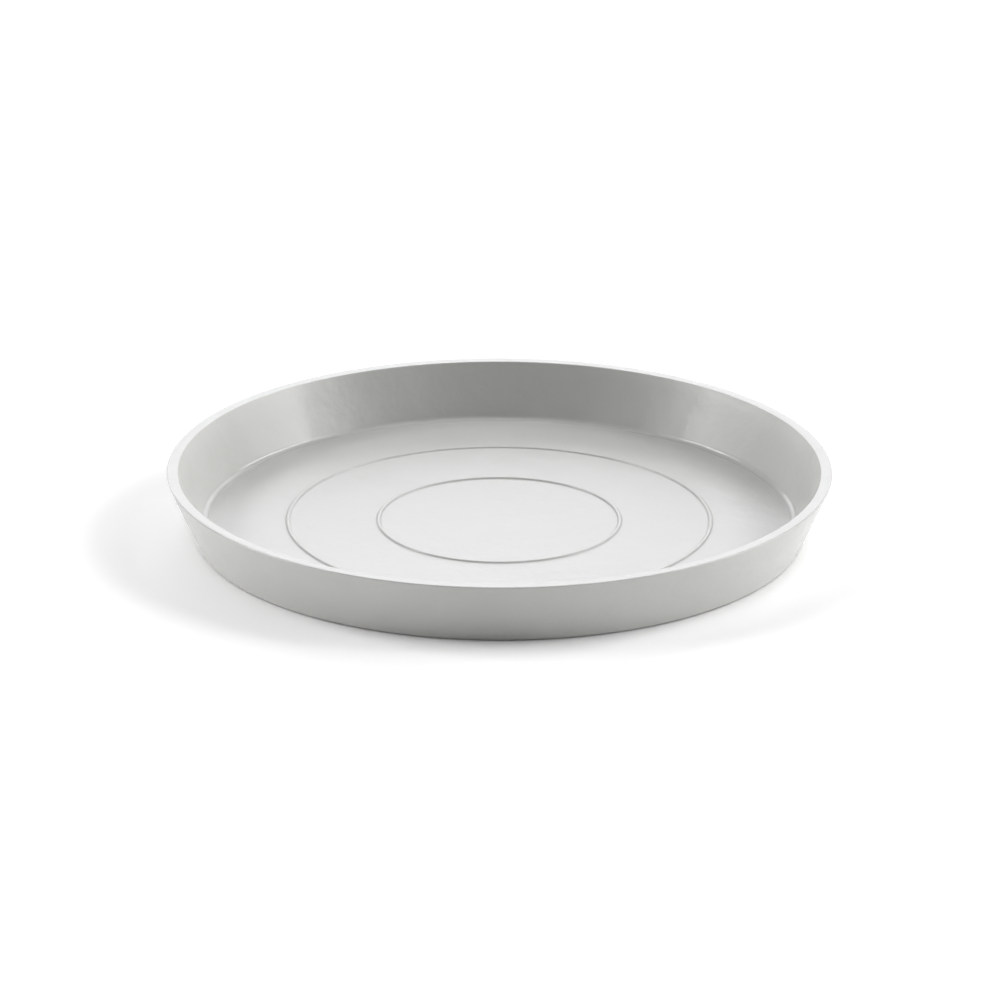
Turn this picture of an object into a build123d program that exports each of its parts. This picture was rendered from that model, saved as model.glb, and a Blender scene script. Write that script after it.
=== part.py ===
from build123d import *
from math import cos, radians, sin, tan
import os

os.makedirs("parts", exist_ok=True)

# A round plant saucer: one moulded dish with a level floor, a straight sloping wall and two raised rings
# that a pot stands on. Thin round pads, stuck into seats in the underside, hold its edge just off the surface.
# Millimetres, +Z up. The Z axis is the dish's axis, and the pads stand on the plane Z = 0.

# The dish. The rim radius is its outermost size, and the lean is the wall's angle from upright.
rim_radius = 150.0
dish_height = 29.5
wall_lean = 24.0
wall_thickness = 4.8
floor_thickness = 4.8
corner_radius = 3.0
rim_outer_round = 0.5
rim_inner_round = 0.4
base_round = 0.8

# The raised rings on the floor
outer_ring_inset = 38.5
ring_spacing = 41.0
ring_height = 0.7
ring_flat = 0.4

# The pads and their seats
pad_count = 6
pad_radius = 10.0
pad_thickness = 1.5
pad_edge_round = 0.3
seat_depth = 1.0
seat_clearance = 0.3
seat_margin = 10.0

# Heights that follow from those sizes
underside = pad_thickness - seat_depth
floor_top = underside + floor_thickness
rim_top = underside + dish_height

# Radii of the section's sharp corners. Rounding the leaning rim takes some of its corner away, so that
# corner stands out past the rim radius by as much.
lean = radians(wall_lean)
rim_outer_corner = rim_radius + rim_outer_round * ((1 + sin(lean)) / cos(lean) - 1)
rim_inner_corner = rim_outer_corner - wall_thickness / cos(lean)
base_corner = rim_outer_corner - dish_height * tan(lean)
floor_corner = rim_inner_corner - (rim_top - floor_top) * tan(lean)

outer_ring_radius = floor_corner - outer_ring_inset
inner_ring_radius = outer_ring_radius - ring_spacing
seat_radius = pad_radius + seat_clearance
pad_circle_radius = base_corner - base_round - seat_margin - seat_radius

# The dish is one turned section, with its inner wall parallel to the outer one.
with BuildPart() as saucer:
    with BuildSketch(Plane.XZ) as section:
        corners = (
            ((base_corner, underside), base_round),
            ((rim_outer_corner, rim_top), rim_outer_round),
            ((rim_inner_corner, rim_top), rim_inner_round),
            ((floor_corner, floor_top), corner_radius),
        )
        with BuildLine():
            Polyline((0, underside), *[point for point, radius in corners], (0, floor_top), close=True)
        make_face()
        for point, radius in corners:
            fillet(section.vertices().sort_by_distance(point)[0], radius)
        # Only the upper half of each slot stands above the floor: a bead with round shoulders and a flat top.
        with Locations((outer_ring_radius, floor_top), (inner_ring_radius, floor_top)):
            SlotCenterToCenter(ring_flat, 2 * ring_height)
    revolve(axis=Axis.Z)
    with BuildSketch(Plane.XY.offset(underside)):
        with PolarLocations(pad_circle_radius, pad_count):
            Circle(seat_radius)
    extrude(amount=seat_depth, mode=Mode.SUBTRACT)

saucer.part.label = "saucer"
export_step(saucer.part, "parts/saucer.step")

# Each pad's upper face is stuck to the ceiling of its seat, and its lower edge is rounded.
for index in range(pad_count):
    with BuildPart() as foot_pad:
        with BuildSketch():
            with PolarLocations(pad_circle_radius, 1, start_angle=360 * index / pad_count):
                Circle(pad_radius)
        extrude(amount=pad_thickness)
        fillet(foot_pad.faces().sort_by(Axis.Z)[0].edges(), pad_edge_round)
    foot_pad.part.label = f"foot_pad_{index + 1}"
    export_step(foot_pad.part, f"parts/foot_pad_{index + 1}.step")

print("standing height", rim_top, "rings", outer_ring_radius, inner_ring_radius, "pad circle", pad_circle_radius)
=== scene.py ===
from math import acos, cos, pi, radians, sin, tan

import bmesh
import bpy
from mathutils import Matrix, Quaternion, Vector


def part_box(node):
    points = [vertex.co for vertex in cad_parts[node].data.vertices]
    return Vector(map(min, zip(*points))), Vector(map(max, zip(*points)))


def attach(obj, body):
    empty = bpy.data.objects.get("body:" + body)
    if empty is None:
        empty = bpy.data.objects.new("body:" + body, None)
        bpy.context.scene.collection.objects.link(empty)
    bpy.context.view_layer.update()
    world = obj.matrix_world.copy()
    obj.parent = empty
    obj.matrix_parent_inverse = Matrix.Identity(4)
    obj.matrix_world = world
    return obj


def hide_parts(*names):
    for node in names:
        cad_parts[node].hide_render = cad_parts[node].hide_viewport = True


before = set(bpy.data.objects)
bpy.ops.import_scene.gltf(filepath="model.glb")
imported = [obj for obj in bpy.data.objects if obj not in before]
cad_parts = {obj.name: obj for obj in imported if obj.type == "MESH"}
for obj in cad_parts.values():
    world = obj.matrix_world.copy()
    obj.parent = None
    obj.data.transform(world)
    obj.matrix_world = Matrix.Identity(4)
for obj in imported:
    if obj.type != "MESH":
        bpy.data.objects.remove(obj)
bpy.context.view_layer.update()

# Saucer: the single moulding that makes the dish, with a level floor and a straight wall leaning out to a level rim.
# It is injection moulded from pale grey plastic, whose skin is satin where the polished mould touched it.
# Two low beads on the floor hold a pot clear of the drained water, and round seats underneath take the pads.
saucer_low, saucer_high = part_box("saucer")
rim_radius = saucer_high[0]
rim_top = saucer_high[2]
underside = saucer_low[2]
wall_lean = radians(24)
wall_thickness = 0.0048
floor_thickness = 0.0048
corner_radius = 0.0030
rim_outer_round = 0.0005
rim_inner_round = 0.0004
base_round = 0.0008
bead_height = 0.0007
bead_flat = 0.0004
bead_foot_round = 0.0006
outer_bead_inset = 0.0385
bead_spacing = 0.0410
sheet_inset = 0.0030
floor_middle_radius = 0.0040
turn_segments = 360

floor_top = underside + floor_thickness
rim_outer_corner = rim_radius + rim_outer_round * ((1 + sin(wall_lean)) / cos(wall_lean) - 1)
rim_inner_corner = rim_outer_corner - wall_thickness / cos(wall_lean)
base_corner = rim_outer_corner - (rim_top - underside) * tan(wall_lean)
floor_corner = rim_inner_corner - (rim_top - floor_top) * tan(wall_lean)
outer_bead_radius = floor_corner - outer_bead_inset
inner_bead_radius = outer_bead_radius - bead_spacing


def arc(centre, radius, start, end, steps):
    """Points along a circle, from one angle to another, both ends included."""
    turn = [start + (end - start) * step / steps for step in range(steps + 1)]
    return [centre + Vector((cos(angle), sin(angle))) * radius for angle in turn]


def rounded_corner(before, corner, after, radius, steps=8):
    """The corner of a section, drawn as an arc that touches both its sides."""
    back = (before - corner).normalized()
    ahead = (after - corner).normalized()
    half_angle = acos(back.dot(ahead)) / 2
    centre = corner + (back + ahead).normalized() * (radius / sin(half_angle))
    first = corner + back * (radius / tan(half_angle)) - centre
    last = corner + ahead * (radius / tan(half_angle)) - centre
    swing = first.angle_signed(last)
    start = Vector((1, 0)).angle_signed(first)
    return arc(centre, radius, -start, -start - swing, steps)


def bead_section(bead_radius):
    """One bead from its outer foot to its inner foot: round shoulders, a narrow flat top and softened feet."""
    reach = ((bead_height + bead_foot_round) ** 2 - bead_foot_round ** 2) ** 0.5
    foot_angle = acos(reach / (bead_height + bead_foot_round))
    shoulder = Vector((bead_flat / 2, 0))
    foot = Vector((bead_flat / 2 + reach, bead_foot_round))
    outer_half = arc(foot, bead_foot_round, -pi / 2, -pi + foot_angle, 5)
    outer_half += arc(shoulder, bead_height, foot_angle, pi / 2, 8)[1:]
    inner_half = [Vector((-point.x, point.y)) for point in reversed(outer_half)]
    return [Vector((bead_radius, floor_top)) + point for point in outer_half + inner_half]


def with_holding_rings(section, hold=0.00025, longest=0.003):
    """Adds a ring close to both ends of each long straight side, so that smooth shading stays flat along it."""
    held = [section[0]]
    for start, end in zip(section, section[1:]):
        if (end - start).length > longest:
            step = (end - start).normalized() * hold
            held += [start + step, end - step]
        held.append(end)
    return held


base_edge = Vector((base_corner, underside))
rim_outer_edge = Vector((rim_outer_corner, rim_top))
rim_inner_edge = Vector((rim_inner_corner, rim_top))
floor_edge = Vector((floor_corner, floor_top))
underside_rim = Vector((base_corner - sheet_inset, underside))
floor_middle = Vector((floor_middle_radius, floor_top))

dish_section = [underside_rim]
dish_section += rounded_corner(underside_rim, base_edge, rim_outer_edge, base_round)
dish_section += rounded_corner(base_edge, rim_outer_edge, rim_inner_edge, rim_outer_round)
dish_section += rounded_corner(rim_outer_edge, rim_inner_edge, floor_edge, rim_inner_round)
dish_section += rounded_corner(rim_inner_edge, floor_edge, floor_middle, corner_radius)
dish_section += bead_section(outer_bead_radius)
dish_section += bead_section(inner_bead_radius)
dish_section += [floor_middle]
dish_section = with_holding_rings(dish_section)

dish = bmesh.new()


def turned_ring(radius, height, segments=turn_segments, middle=(0, 0)):
    """One ring of points about an upright axis."""
    ring = []
    for segment in range(segments):
        angle = 2 * pi * segment / segments
        ring.append(dish.verts.new((middle[0] + radius * cos(angle), middle[1] + radius * sin(angle), height)))
    return ring


def skin(lower, upper):
    """Quads between two rings with equally many points."""
    for here in range(len(lower)):
        there = (here + 1) % len(lower)
        dish.faces.new((lower[here], lower[there], upper[there], upper[here]))


dish_rings = [turned_ring(point.x, point.y) for point in dish_section]
for lower, upper in zip(dish_rings, dish_rings[1:]):
    skin(lower, upper)
dish.faces.new(dish_rings[-1])

# The underside is a flat sheet with a round hole at each seat, and each seat is a shallow blind recess.
# In its middle is a dimple with the nub where the melt came in, broken off below the face. Its section is a list of
# radii and rises, and starts with a narrow flat ring, so that smooth shading stays flat round it.
seat_depth = 0.0010
seat_clearance = 0.0003
seat_segments = 72
pad_names = sorted(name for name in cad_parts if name.startswith("foot_pad"))
sheet_rings = [dish_rings[0]]
for pad_name in pad_names:
    pad_low, pad_high = (Vector(corner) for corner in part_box(pad_name))
    pad_middle = (pad_low + pad_high) / 2
    seat_radius = (pad_high.x - pad_low.x) / 2 + seat_clearance
    mouth = turned_ring(seat_radius, underside, seat_segments, pad_middle)
    ceiling = turned_ring(seat_radius, underside + seat_depth, seat_segments, pad_middle)
    skin(mouth, ceiling)
    dish.faces.new(ceiling)
    sheet_rings.append(mouth)
dimple_profile = [(0.0066, 0), (0.0062, 0), (0.0058, 0.00012), (0.0048, 0.0006), (0.0043, 0.0008)]
dimple_profile += [(0.0019, 0.0008), (0.0016, 0.0007), (0.0013, 0.0004), (0.0010, 0.00028), (0.0004, 0.00024)]
dimple_rings = [turned_ring(radius, underside + rise, seat_segments) for radius, rise in dimple_profile]
for outer, inner in zip(dimple_rings, dimple_rings[1:]):
    skin(outer, inner)
dish.faces.new(dimple_rings[-1])
sheet_rings.append(dimple_rings[0])
sheet_edges = []
for ring in sheet_rings:
    sheet_edges += [dish.edges.get((ring[here - 1], ring[here])) for here in range(len(ring))]
bmesh.ops.triangle_fill(dish, edges=sheet_edges, use_beauty=True, use_dissolve=False)
bmesh.ops.recalc_face_normals(dish, faces=dish.faces)

saucer_mesh = bpy.data.meshes.new("saucer_moulding")
dish.to_mesh(saucer_mesh)
dish.free()
sharp_edge = radians(40)
saucer_mesh.shade_smooth()
saucer_mesh.set_sharp_from_angle(angle=sharp_edge)
saucer = bpy.data.objects.new("saucer_moulding", saucer_mesh)
bpy.context.scene.collection.objects.link(saucer)

# The skin of a moulded piece: grain from the mould's surface, a slow mottle from the melt, and sparse flecks in it.
moulded_skin = bpy.data.node_groups.new("moulded_skin", "ShaderNodeTree")
skin_nodes = moulded_skin.nodes
skin_links = moulded_skin.links
moulded_skin.interface.new_socket("Place", in_out="INPUT", socket_type="NodeSocketVector")
for name in ("Grain Scale", "Mottle Scale", "Fleck Scale", "Fleck Share"):
    moulded_skin.interface.new_socket(name, in_out="INPUT", socket_type="NodeSocketFloat")
for name in ("Grain", "Mottle", "Flecks"):
    moulded_skin.interface.new_socket(name, in_out="OUTPUT", socket_type="NodeSocketFloat")
skin_in = skin_nodes.new("NodeGroupInput")
skin_out = skin_nodes.new("NodeGroupOutput")
grain_noise = skin_nodes.new("ShaderNodeTexNoise")
grain_noise.inputs["Detail"].default_value = 3
grain_noise.inputs["Roughness"].default_value = 0.6
mottle_noise = skin_nodes.new("ShaderNodeTexNoise")
mottle_noise.inputs["Detail"].default_value = 4
mottle_noise.inputs["Roughness"].default_value = 0.55
fleck_cells = skin_nodes.new("ShaderNodeTexVoronoi")
fleck_choice = skin_nodes.new("ShaderNodeSeparateColor")
fleck_chosen = skin_nodes.new("ShaderNodeMath")
fleck_chosen.operation = "LESS_THAN"
fleck_spot = skin_nodes.new("ShaderNodeMapRange")
fleck_spot.inputs["From Min"].default_value = 0.32
fleck_spot.inputs["From Max"].default_value = 0.18
fleck_mask = skin_nodes.new("ShaderNodeMath")
fleck_mask.operation = "MULTIPLY"
for texture, scale in ((grain_noise, "Grain Scale"), (mottle_noise, "Mottle Scale"), (fleck_cells, "Fleck Scale")):
    skin_links.new(skin_in.outputs["Place"], texture.inputs["Vector"])
    skin_links.new(skin_in.outputs[scale], texture.inputs["Scale"])
skin_links.new(fleck_cells.outputs["Color"], fleck_choice.inputs["Color"])
skin_links.new(fleck_choice.outputs["Red"], fleck_chosen.inputs[0])
skin_links.new(skin_in.outputs["Fleck Share"], fleck_chosen.inputs[1])
skin_links.new(fleck_cells.outputs["Distance"], fleck_spot.inputs["Value"])
skin_links.new(fleck_chosen.outputs["Value"], fleck_mask.inputs[0])
skin_links.new(fleck_spot.outputs["Result"], fleck_mask.inputs[1])
skin_links.new(grain_noise.outputs["Fac"], skin_out.inputs["Grain"])
skin_links.new(mottle_noise.outputs["Fac"], skin_out.inputs["Mottle"])
skin_links.new(fleck_mask.outputs["Value"], skin_out.inputs["Flecks"])

saucer_plastic = bpy.data.materials.new("saucer_plastic")
saucer_plastic.use_nodes = True
plastic_nodes = saucer_plastic.node_tree.nodes
plastic_links = saucer_plastic.node_tree.links
plastic_shader = plastic_nodes["Principled BSDF"]
plastic_place = plastic_nodes.new("ShaderNodeTexCoord")
plastic_skin = plastic_nodes.new("ShaderNodeGroup")
plastic_skin.node_tree = moulded_skin
plastic_skin.inputs["Grain Scale"].default_value = 1800
plastic_skin.inputs["Mottle Scale"].default_value = 42
plastic_skin.inputs["Fleck Scale"].default_value = 700
plastic_skin.inputs["Fleck Share"].default_value = 0.05
plastic_links.new(plastic_place.outputs["Object"], plastic_skin.inputs["Place"])

# The mould was turned and polished, so fine marks run round the dish. They are noise that changes quickly along the
# radius and the height and slowly round the axis.
mark_scale = 900
place_parts = plastic_nodes.new("ShaderNodeSeparateXYZ")
level_place = plastic_nodes.new("ShaderNodeVectorMath")
level_place.operation = "MULTIPLY"
level_place.inputs[1].default_value = (1, 1, 0)
place_radius = plastic_nodes.new("ShaderNodeVectorMath")
place_radius.operation = "LENGTH"
place_bearing = plastic_nodes.new("ShaderNodeVectorMath")
place_bearing.operation = "NORMALIZE"
bearing_parts = plastic_nodes.new("ShaderNodeSeparateXYZ")
mark_radius = plastic_nodes.new("ShaderNodeMath")
mark_radius.operation = "MULTIPLY"
mark_radius.inputs[1].default_value = mark_scale
mark_height = plastic_nodes.new("ShaderNodeMath")
mark_height.operation = "MULTIPLY"
mark_height.inputs[1].default_value = mark_scale
mark_place = plastic_nodes.new("ShaderNodeCombineXYZ")
turning_marks = plastic_nodes.new("ShaderNodeTexNoise")
turning_marks.noise_dimensions = "4D"
turning_marks.inputs["Scale"].default_value = 1
turning_marks.inputs["Detail"].default_value = 3
plastic_links.new(plastic_place.outputs["Object"], place_parts.inputs["Vector"])
plastic_links.new(plastic_place.outputs["Object"], level_place.inputs[0])
plastic_links.new(level_place.outputs["Vector"], place_radius.inputs[0])
plastic_links.new(level_place.outputs["Vector"], place_bearing.inputs[0])
plastic_links.new(place_bearing.outputs["Vector"], bearing_parts.inputs["Vector"])
plastic_links.new(place_radius.outputs["Value"], mark_radius.inputs[0])
plastic_links.new(place_parts.outputs["Z"], mark_height.inputs[0])
plastic_links.new(mark_radius.outputs["Value"], mark_place.inputs["X"])
plastic_links.new(mark_height.outputs["Value"], mark_place.inputs["Y"])
plastic_links.new(bearing_parts.outputs["X"], mark_place.inputs["Z"])
plastic_links.new(mark_place.outputs["Vector"], turning_marks.inputs["Vector"])
plastic_links.new(bearing_parts.outputs["Y"], turning_marks.inputs["W"])

# The colour drifts a little with the mottle, and the flecks in it are a touch darker.
plastic_colour = plastic_nodes.new("ShaderNodeValToRGB")
plastic_colour.color_ramp.elements[0].position = 0.3
plastic_colour.color_ramp.elements[0].color = (0.609, 0.611, 0.590, 1)
plastic_colour.color_ramp.elements[1].position = 0.7
plastic_colour.color_ramp.elements[1].color = (0.631, 0.633, 0.613, 1)
fleck_strength = plastic_nodes.new("ShaderNodeMath")
fleck_strength.operation = "MULTIPLY"
fleck_strength.inputs[1].default_value = 0.15
flecked_colour = plastic_nodes.new("ShaderNodeMix")
flecked_colour.data_type = "RGBA"
flecked_colour.inputs["B"].default_value = (0.42, 0.42, 0.39, 1)
plastic_links.new(plastic_skin.outputs["Mottle"], plastic_colour.inputs["Fac"])
plastic_links.new(plastic_skin.outputs["Flecks"], fleck_strength.inputs[0])
plastic_links.new(fleck_strength.outputs["Value"], flecked_colour.inputs["Factor"])
plastic_links.new(plastic_colour.outputs["Color"], flecked_colour.inputs["A"])
plastic_links.new(flecked_colour.outputs["Result"], plastic_shader.inputs["Base Color"])

# The satin skin is cloudy: duller where the melt froze first, with the turning marks showing as faint streaks.
cloudy_gloss = plastic_nodes.new("ShaderNodeMapRange")
cloudy_gloss.inputs["From Min"].default_value = 0.3
cloudy_gloss.inputs["From Max"].default_value = 0.7
cloudy_gloss.inputs["To Min"].default_value = 0.22
cloudy_gloss.inputs["To Max"].default_value = 0.26
streaky_gloss = plastic_nodes.new("ShaderNodeMath")
streaky_gloss.operation = "MULTIPLY_ADD"
streaky_gloss.inputs[1].default_value = 0.02
plastic_links.new(plastic_skin.outputs["Mottle"], cloudy_gloss.inputs["Value"])
plastic_links.new(turning_marks.outputs["Fac"], streaky_gloss.inputs[0])
plastic_links.new(cloudy_gloss.outputs["Result"], streaky_gloss.inputs[2])
# The mould's face for the floor was left matt, and the faces for the wall were polished so that the piece slips out.
# One finish runs into the other just inside the corner.
polish_end_inset = 0.0019
matt_start_inset = 0.0030
floor_share = plastic_nodes.new("ShaderNodeMapRange")
floor_share.inputs["From Min"].default_value = floor_corner - polish_end_inset
floor_share.inputs["From Max"].default_value = floor_corner - matt_start_inset
matt_floor = plastic_nodes.new("ShaderNodeMath")
matt_floor.operation = "MULTIPLY_ADD"
matt_floor.inputs[1].default_value = 0.06
plastic_links.new(place_radius.outputs["Value"], floor_share.inputs["Value"])
plastic_links.new(floor_share.outputs["Result"], matt_floor.inputs[0])
plastic_links.new(streaky_gloss.outputs["Value"], matt_floor.inputs[2])
# The narrow corner between the two was polished brightest.
corner_middle_inset = 0.0005
corner_half_width = 0.0016
corner_share = plastic_nodes.new("ShaderNodeMath")
corner_share.operation = "COMPARE"
corner_share.inputs[1].default_value = floor_corner - corner_middle_inset
corner_share.inputs[2].default_value = corner_half_width
bright_corner = plastic_nodes.new("ShaderNodeMath")
bright_corner.operation = "MULTIPLY_ADD"
bright_corner.inputs[1].default_value = -0.08
plastic_links.new(place_radius.outputs["Value"], corner_share.inputs[0])
plastic_links.new(corner_share.outputs["Value"], bright_corner.inputs[0])
plastic_links.new(matt_floor.outputs["Value"], bright_corner.inputs[2])
plastic_links.new(bright_corner.outputs["Value"], plastic_shader.inputs["Roughness"])

# The bumps are in thousandths of a millimetre: a slow sink, the turning marks and the fine grain.
bump_unit = 0.000001
sink_height = plastic_nodes.new("ShaderNodeMath")
sink_height.operation = "MULTIPLY"
sink_height.inputs[1].default_value = 700
mark_depth = plastic_nodes.new("ShaderNodeMath")
mark_depth.operation = "MULTIPLY_ADD"
mark_depth.inputs[1].default_value = 0.6
grain_depth = plastic_nodes.new("ShaderNodeMath")
grain_depth.operation = "MULTIPLY_ADD"
grain_depth.inputs[1].default_value = 0.8
plastic_bump = plastic_nodes.new("ShaderNodeBump")
plastic_bump.inputs["Distance"].default_value = bump_unit
plastic_links.new(plastic_skin.outputs["Mottle"], sink_height.inputs[0])
plastic_links.new(turning_marks.outputs["Fac"], mark_depth.inputs[0])
plastic_links.new(sink_height.outputs["Value"], mark_depth.inputs[2])
plastic_links.new(plastic_skin.outputs["Grain"], grain_depth.inputs[0])
plastic_links.new(mark_depth.outputs["Value"], grain_depth.inputs[2])
plastic_links.new(grain_depth.outputs["Value"], plastic_bump.inputs["Height"])
plastic_links.new(plastic_bump.outputs["Normal"], plastic_shader.inputs["Normal"])
saucer_mesh.materials.append(saucer_plastic)

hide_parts("saucer")
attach(saucer, "root")

# Foot pads: thin round discs die-cut from dark grey foam rubber, with a film of adhesive on the upper face.
# Each one is pressed into its seat in the underside and holds the dish just off the surface that it stands on.
pad_rubber = bpy.data.materials.new("pad_rubber")
pad_rubber.use_nodes = True
rubber_nodes = pad_rubber.node_tree.nodes
rubber_links = pad_rubber.node_tree.links
rubber_shader = rubber_nodes["Principled BSDF"]
rubber_shader.inputs["Specular IOR Level"].default_value = 0.3
rubber_place = rubber_nodes.new("ShaderNodeTexCoord")
rubber_skin = rubber_nodes.new("ShaderNodeGroup")
rubber_skin.node_tree = moulded_skin
rubber_skin.inputs["Grain Scale"].default_value = 2600
rubber_skin.inputs["Mottle Scale"].default_value = 190
rubber_skin.inputs["Fleck Scale"].default_value = 2200
rubber_skin.inputs["Fleck Share"].default_value = 0.55
rubber_colour = rubber_nodes.new("ShaderNodeValToRGB")
rubber_colour.color_ramp.elements[0].position = 0.3
rubber_colour.color_ramp.elements[0].color = (0.018, 0.018, 0.019, 1)
rubber_colour.color_ramp.elements[1].position = 0.7
rubber_colour.color_ramp.elements[1].color = (0.034, 0.034, 0.035, 1)
pore_shade = rubber_nodes.new("ShaderNodeMix")
pore_shade.data_type = "RGBA"
pore_shade.inputs["B"].default_value = (0.008, 0.008, 0.008, 1)
rubber_dullness = rubber_nodes.new("ShaderNodeMapRange")
rubber_dullness.inputs["To Min"].default_value = 0.78
rubber_dullness.inputs["To Max"].default_value = 0.98
pore_depth = rubber_nodes.new("ShaderNodeMath")
pore_depth.operation = "MULTIPLY_ADD"
pore_depth.inputs[1].default_value = -1.6
rubber_bump = rubber_nodes.new("ShaderNodeBump")
rubber_bump.inputs["Distance"].default_value = 0.00006
rubber_links.new(rubber_place.outputs["Object"], rubber_skin.inputs["Place"])
rubber_links.new(rubber_skin.outputs["Mottle"], rubber_colour.inputs["Fac"])
rubber_links.new(rubber_skin.outputs["Flecks"], pore_shade.inputs["Factor"])
rubber_links.new(rubber_colour.outputs["Color"], pore_shade.inputs["A"])
rubber_links.new(pore_shade.outputs["Result"], rubber_shader.inputs["Base Color"])
rubber_links.new(rubber_skin.outputs["Grain"], rubber_dullness.inputs["Value"])
rubber_links.new(rubber_dullness.outputs["Result"], rubber_shader.inputs["Roughness"])
rubber_links.new(rubber_skin.outputs["Flecks"], pore_depth.inputs[0])
rubber_links.new(rubber_skin.outputs["Grain"], pore_depth.inputs[2])
rubber_links.new(pore_depth.outputs["Value"], rubber_bump.inputs["Height"])
rubber_links.new(rubber_bump.outputs["Normal"], rubber_shader.inputs["Normal"])
for pad_name in pad_names:
    pad_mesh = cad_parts[pad_name].data
    pad_mesh.materials.clear()
    pad_mesh.materials.append(pad_rubber)

# Studio floor: a wide sheet of white paper under the saucer. Where the camera or a reflection sees it, it is lifted
# to white, and it keeps the shadow. The lift grows a little towards the right, which is painted light, and within a
# few millimetres of the saucer it is dimmed, which is painted contact shade.
floor_half_width = 3.0
lift_grows_from = 0.05
lift_grows_to = 0.15
contact_reach = 0.008
floor_mesh = bpy.data.meshes.new("paper_floor")
floor_corners = [(-1, -1), (1, -1), (1, 1), (-1, 1)]
floor_mesh.from_pydata([(x * floor_half_width, y * floor_half_width, 0) for x, y in floor_corners], [], [(0, 1, 2, 3)])
paper_floor = bpy.data.objects.new("paper_floor", floor_mesh)
bpy.context.scene.collection.objects.link(paper_floor)
paper = bpy.data.materials.new("white_paper")
paper.use_nodes = True
paper_nodes = paper.node_tree.nodes
paper_links = paper.node_tree.links
paper_nodes.clear()
paper_output = paper_nodes.new("ShaderNodeOutputMaterial")
paper_diffuse = paper_nodes.new("ShaderNodeBsdfDiffuse")
paper_diffuse.inputs["Color"].default_value = (0.97, 0.97, 0.97, 1)
paper_rays = paper_nodes.new("ShaderNodeLightPath")
paper_seen = paper_nodes.new("ShaderNodeMath")
paper_seen.operation = "MAXIMUM"
paper_mirrored = paper_nodes.new("ShaderNodeMath")
paper_mirrored.operation = "MAXIMUM"
paper_place = paper_nodes.new("ShaderNodeTexCoord")
paper_place_parts = paper_nodes.new("ShaderNodeSeparateXYZ")
# Painted light: the lift grows from left to right across the paper.
paper_painted_light = paper_nodes.new("ShaderNodeMapRange")
paper_painted_light.inputs["From Min"].default_value = lift_grows_from
paper_painted_light.inputs["From Max"].default_value = lift_grows_to
paper_painted_light.inputs["To Min"].default_value = 0.20
paper_painted_light.inputs["To Max"].default_value = 0.27
paper_lift = paper_nodes.new("ShaderNodeMath")
paper_lift.operation = "MULTIPLY"
# Painted contact shade: the lift is dimmed where the saucer closes over the paper.
paper_painted_contact_shade = paper_nodes.new("ShaderNodeAmbientOcclusion")
paper_painted_contact_shade.samples = 8
paper_painted_contact_shade.inputs["Distance"].default_value = contact_reach
paper_shaded_lift = paper_nodes.new("ShaderNodeMath")
paper_shaded_lift.operation = "MULTIPLY"
paper_glow = paper_nodes.new("ShaderNodeEmission")
paper_sum = paper_nodes.new("ShaderNodeAddShader")
paper_links.new(paper_rays.outputs["Is Camera Ray"], paper_seen.inputs[0])
paper_links.new(paper_rays.outputs["Is Glossy Ray"], paper_mirrored.inputs[0])
paper_links.new(paper_rays.outputs["Is Transmission Ray"], paper_mirrored.inputs[1])
paper_links.new(paper_mirrored.outputs["Value"], paper_seen.inputs[1])
paper_links.new(paper_place.outputs["Object"], paper_place_parts.inputs["Vector"])
paper_links.new(paper_place_parts.outputs["X"], paper_painted_light.inputs["Value"])
paper_links.new(paper_seen.outputs["Value"], paper_lift.inputs[0])
paper_links.new(paper_painted_light.outputs["Result"], paper_lift.inputs[1])
paper_links.new(paper_painted_contact_shade.outputs["AO"], paper_shaded_lift.inputs[0])
paper_links.new(paper_lift.outputs["Value"], paper_shaded_lift.inputs[1])
paper_links.new(paper_shaded_lift.outputs["Value"], paper_glow.inputs["Strength"])
paper_links.new(paper_diffuse.outputs["BSDF"], paper_sum.inputs[0])
paper_links.new(paper_glow.outputs["Emission"], paper_sum.inputs[1])
paper_links.new(paper_sum.outputs["Shader"], paper_output.inputs["Surface"])
floor_mesh.materials.append(paper)

# Studio light: softboxes and a low narrow card on either side of the table, and the glow of a lit backdrop behind it
# and of the ceiling. Each is far away, so that the paper is lit evenly. The world is white to the camera, and
# reflections see it as a low white band all round, with nothing above it.
# A softbox has a name, a bearing from +X, a height and a width in degrees, a strength and a colour.
neutral = (1, 1, 1)
cool = (0.985, 0.99, 1.02)
softboxes = [
    ("right_card", 0, 1, 2, 0.30, neutral),
    ("right_low", 0, 8, 30, 0.61, neutral),
    ("right_front", 345, 20, 30, 0.40, neutral),
    ("right_wall_spot", 351, 16, 14, 0.11, neutral),
    ("right_key", 0, 38, 14, 0.43, neutral),
    ("right_back_key", 20, 38, 14, 0.26, neutral),
    ("right_spot", 30, 30, 14, 0.25, neutral),
    ("right_back_spot", 60, 30, 14, 0.14, neutral),
    ("right_high", 15, 44, 30, 0.50, neutral),
    ("left_card", 180, 1, 2, 0.36, neutral),
    ("left_low", 180, 8, 30, 0.49, neutral),
    ("left_front", 195, 20, 30, 0.26, neutral),
    ("left_wall_spot", 189, 16, 14, 0.10, neutral),
    ("left_key", 180, 38, 14, 0.42, neutral),
    ("left_back_key", 160, 38, 14, 0.45, neutral),
    ("left_high", 165, 44, 30, 0.30, neutral),
    ("backdrop_left", 114, 18, 14, 0.15, cool),
    ("backdrop_right", 66, 18, 14, 0.12, cool),
    ("backdrop_low", 90, 20, 30, 0.46, cool),
    ("backdrop_high", 90, 40, 30, 0.26, cool),
    ("ceiling", 0, 80, 40, 0.44, cool),
]
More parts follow.
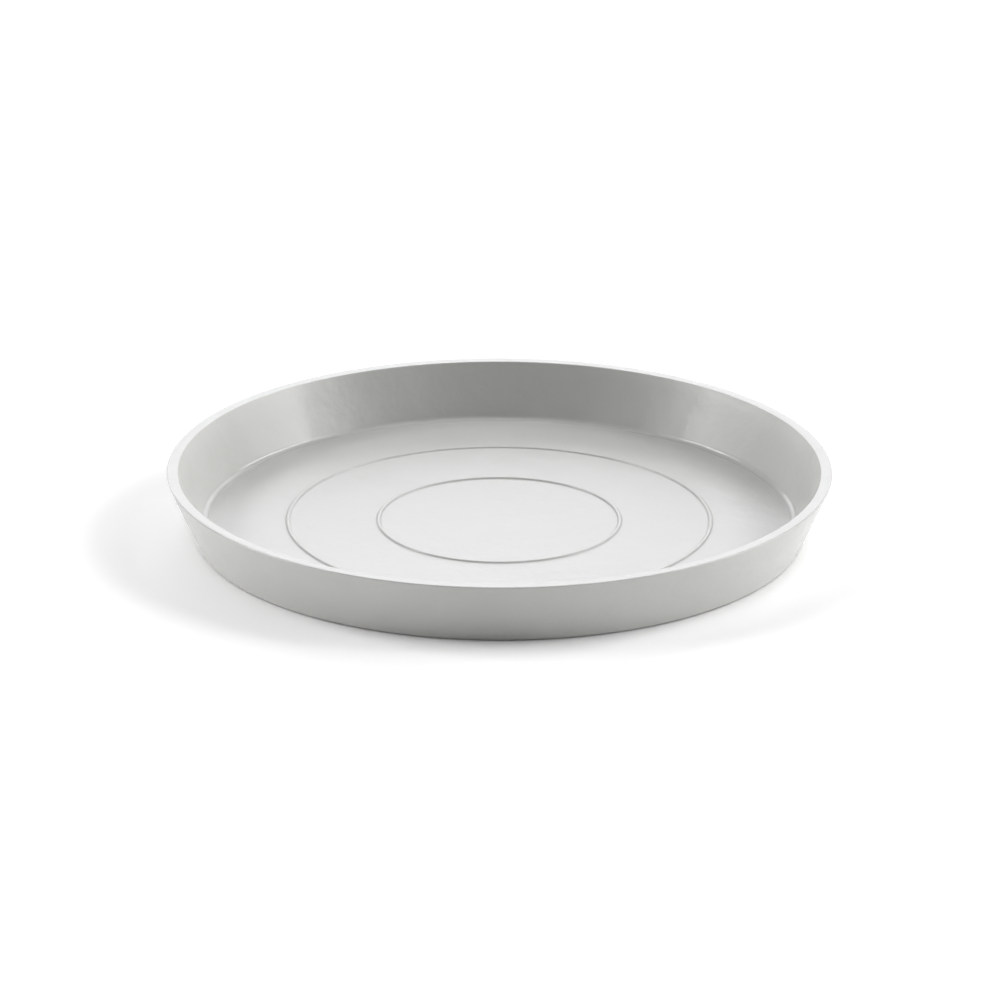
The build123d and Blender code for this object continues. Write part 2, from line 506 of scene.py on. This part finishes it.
for name, bearing, height, width, strength, colour in softboxes:
    softbox_light = bpy.data.lights.new(name, "SUN")
    softbox_light.energy = strength
    softbox_light.color = colour
    softbox_light.angle = radians(width)
    softbox = bpy.data.objects.new(name, softbox_light)
    level = cos(radians(height))
    towards = Vector((level * cos(radians(bearing)), level * sin(radians(bearing)), sin(radians(height))))
    softbox.rotation_mode = "QUATERNION"
    softbox.rotation_quaternion = towards.to_track_quat("Z", "Y")
    bpy.context.scene.collection.objects.link(softbox)
band_full_height = radians(8)
band_end_height = radians(14)
world = bpy.data.worlds.new("studio")
bpy.context.scene.world = world
world.use_nodes = True
world_nodes = world.node_tree.nodes
world_links = world.node_tree.links
world_background = world_nodes["Background"]
world_background.inputs["Color"].default_value = (1, 1, 1, 1)
world_rays = world_nodes.new("ShaderNodeLightPath")
world_place = world_nodes.new("ShaderNodeTexCoord")
world_place_parts = world_nodes.new("ShaderNodeSeparateXYZ")
backdrop_band = world_nodes.new("ShaderNodeMapRange")
backdrop_band.inputs["From Min"].default_value = sin(band_end_height)
backdrop_band.inputs["From Max"].default_value = sin(band_full_height)
world_mirrored = world_nodes.new("ShaderNodeMath")
world_mirrored.operation = "MAXIMUM"
backdrop_mirrored = world_nodes.new("ShaderNodeMath")
backdrop_mirrored.operation = "MULTIPLY"
world_seen = world_nodes.new("ShaderNodeMath")
world_seen.operation = "MAXIMUM"
world_links.new(world_place.outputs["Generated"], world_place_parts.inputs["Vector"])
world_links.new(world_place_parts.outputs["Z"], backdrop_band.inputs["Value"])
world_links.new(world_rays.outputs["Is Glossy Ray"], world_mirrored.inputs[0])
world_links.new(world_rays.outputs["Is Transmission Ray"], world_mirrored.inputs[1])
world_links.new(world_mirrored.outputs["Value"], backdrop_mirrored.inputs[0])
world_links.new(backdrop_band.outputs["Result"], backdrop_mirrored.inputs[1])
world_links.new(world_rays.outputs["Is Camera Ray"], world_seen.inputs[0])
world_links.new(backdrop_mirrored.outputs["Value"], world_seen.inputs[1])
world_links.new(world_seen.outputs["Value"], world_background.inputs["Strength"])

# Camera: it looks down on the saucer as the photograph does, from far off through a long lens, and is turned by the
# picture's slight tilt.
camera_distance = 3.75
camera_elevation = radians(20.60)
camera_lens = 298.47
camera_roll = radians(0.16)
aim_rise = 0.01393
aim_right = 0.00028
camera_data = bpy.data.cameras.new("camera")
camera_data.lens = camera_lens
camera_data.sensor_width = 36
camera = bpy.data.objects.new("camera", camera_data)
bpy.context.scene.collection.objects.link(camera)
camera.location = (0, -camera_distance * cos(camera_elevation), camera_distance * sin(camera_elevation))
aim = Vector((aim_right, aim_rise * sin(camera_elevation), aim_rise * cos(camera_elevation)))
camera.rotation_mode = "QUATERNION"
camera.rotation_quaternion = (aim - camera.location).to_track_quat("-Z", "Y") @ Quaternion((0, 0, 1), camera_roll)
bpy.context.scene.camera = camera

bpy.context.scene.view_settings.view_transform = "Standard"
